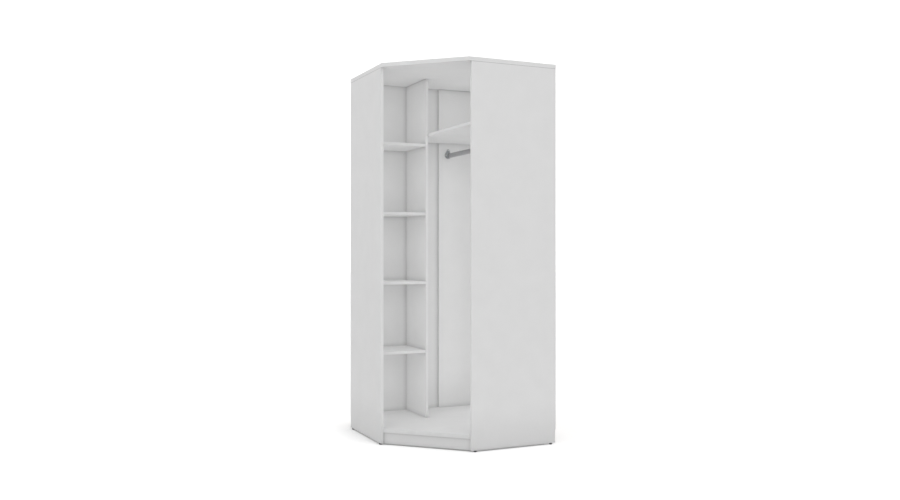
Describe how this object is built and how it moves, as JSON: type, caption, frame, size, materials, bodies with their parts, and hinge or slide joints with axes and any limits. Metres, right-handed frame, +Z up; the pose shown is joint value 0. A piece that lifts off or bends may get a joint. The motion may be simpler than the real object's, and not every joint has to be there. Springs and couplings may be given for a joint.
{
  "type": "corner wardrobe",
  "caption": "White five-sided corner wardrobe, open at the diagonal front, with a bay of shelves beside a hanging space with a rail and a hat shelf.",
  "frame": {"origin": "on the floor, under the middle of the square plan of which the wardrobe fills all but the cut corner", "axes": "+Z up; +Y towards the wall behind the shelves, +X towards the wall behind the hanging space, so the diagonal opening faces -X and -Y"},
  "size_m": [0.9, 0.9, 2.12],
  "materials": {
    "white_laminate": "chipboard faced and edged with satin white laminate",
    "back_sheet": "thin fibreboard, white lacquered inside",
    "satin_metal": "satin plated steel tube",
    "flange_metal": "grey metallic, die cast",
    "zinc": "bright zinc plated",
    "black_plastic": "moulded black plastic"
  },
  "bodies": {
    "carcass": {"left_side_panel": "white_laminate", "right_side_panel": "white_laminate", "top_panel": "white_laminate", "bottom_panel": "white_laminate", "partition": "white_laminate", "corner_board": "white_laminate", "front_plinth": "white_laminate", "rear_plinth": "white_laminate", "side_plinth": "white_laminate", "rear_back_panel": "back_sheet", "side_back_panel": "back_sheet", "shelf_2": "white_laminate", "hat_shelf": "white_laminate", "hanging_rail": "satin_metal", "rear_rail_flange": "flange_metal", "rear_rail_screw_1": "zinc", "rear_rail_screw_2": "zinc", "rear_rail_screw_3": "zinc", "front_rail_flange": "flange_metal", "front_rail_screw_1": "zinc", "front_rail_screw_2": "zinc", "front_rail_screw_3": "zinc", "cam_fitting_01": "zinc", "cam_fitting_02": "zinc", "cam_fitting_03": "zinc", "cam_fitting_04": "zinc", "cam_fitting_05": "zinc", "cam_fitting_06": "zinc", "cam_fitting_07": "zinc", "cam_fitting_08": "zinc", "cam_fitting_09": "zinc", "cam_fitting_10": "zinc", "cam_fitting_11": "zinc", "cam_fitting_12": "zinc", "cam_fitting_13": "zinc", "cam_fitting_14": "zinc", "cam_fitting_15": "zinc", "cam_fitting_16": "zinc", "shelf_1_pin_1": "zinc", "shelf_1_pin_2": "zinc", "shelf_1_pin_3": "zinc", "shelf_1_pin_4": "zinc", "shelf_3_pin_1": "zinc", "shelf_3_pin_2": "zinc", "shelf_3_pin_3": "zinc", "shelf_3_pin_4": "zinc", "shelf_4_pin_1": "zinc", "shelf_4_pin_2": "zinc", "shelf_4_pin_3": "zinc", "shelf_4_pin_4": "zinc", "glide_1": "black_plastic", "glide_2": "black_plastic", "glide_3": "black_plastic", "glide_4": "black_plastic", "glide_5": "black_plastic", "glide_6": "black_plastic", "glide_7": "black_plastic"},
    "shelf_1_body": {"shelf_1": "white_laminate"},
    "shelf_3_body": {"shelf_3": "white_laminate"},
    "shelf_4_body": {"shelf_4": "white_laminate"}
  },
  "joints": [
    {"name": "shelf_1_slide", "type": "slide", "parent": "carcass", "child": "shelf_1_body", "axis": [0, -1, 0], "range_m": [0, 0.9]},
    {"name": "shelf_3_slide", "type": "slide", "parent": "carcass", "child": "shelf_3_body", "axis": [0, -1, 0], "range_m": [0, 0.9]},
    {"name": "shelf_4_slide", "type": "slide", "parent": "carcass", "child": "shelf_4_body", "axis": [0, -1, 0], "range_m": [0, 0.9]}
  ]
}
